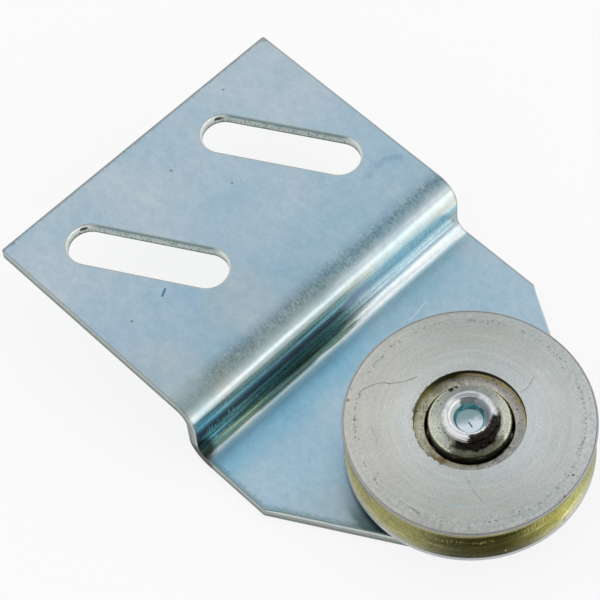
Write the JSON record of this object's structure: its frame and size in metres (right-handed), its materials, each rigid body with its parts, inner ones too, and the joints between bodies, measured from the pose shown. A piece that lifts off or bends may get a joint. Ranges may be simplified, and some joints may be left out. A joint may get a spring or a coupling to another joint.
{
  "type": "sliding door roller",
  "caption": "Grooved steel wheel on a ball bearing, riveted to a cranked zinc-plated steel plate with slanted screw slots, for hanging a sliding door.",
  "frame": {"origin": "on the wheel's axis, in the plane of the mounting plate's back face, at the flush rivet head", "axes": "+Z along the axle from the plate to the wheel's open face, +Y from the wheel towards the screw slots, +X across the plate"},
  "size_m": [0.06, 0.0974, 0.0144],
  "materials": {
    "blue_zinc_plate": "blue passivated zinc plating with faint mottling",
    "turned_wheel_steel": "matt turned face with a yellow passivated groove",
    "yellow_zinc_race": "yellow passivated zinc, worn",
    "zinc_cone": "zinc plated, satin, greasy",
    "bright_rivet": "bright zinc",
    "plain_washer": "zinc plated",
    "ball_steel": "polished"
  },
  "bodies": {
    "bracket": {"mounting_plate": "blue_zinc_plate", "axle_rivet": "bright_rivet", "spacer_washer": "plain_washer", "rear_cone": "zinc_cone", "front_cone": "zinc_cone"},
    "running_wheel": {"wheel": "turned_wheel_steel", "outer_race": "yellow_zinc_race"},
    "ball_train": {"ball_01": "ball_steel", "ball_02": "ball_steel", "ball_03": "ball_steel", "ball_04": "ball_steel", "ball_05": "ball_steel", "ball_06": "ball_steel", "ball_07": "ball_steel", "ball_08": "ball_steel", "ball_09": "ball_steel", "ball_10": "ball_steel", "ball_11": "ball_steel", "ball_12": "ball_steel", "ball_13": "ball_steel"}
  },
  "joints": [
    {"name": "wheel_spin", "type": "hinge", "parent": "bracket", "child": "running_wheel", "pos_m": [0, 0, 0.0083], "axis": [0, 0, 1], "continuous": true},
    {"name": "ball_orbit", "type": "hinge", "parent": "bracket", "child": "ball_train", "pos_m": [0, 0, 0.0083], "axis": [0, 0, 1], "continuous": true}
  ],
  "couplings": [
    {"joint": "ball_orbit", "follows": "wheel_spin", "ratio": 0.61731}
  ]
}
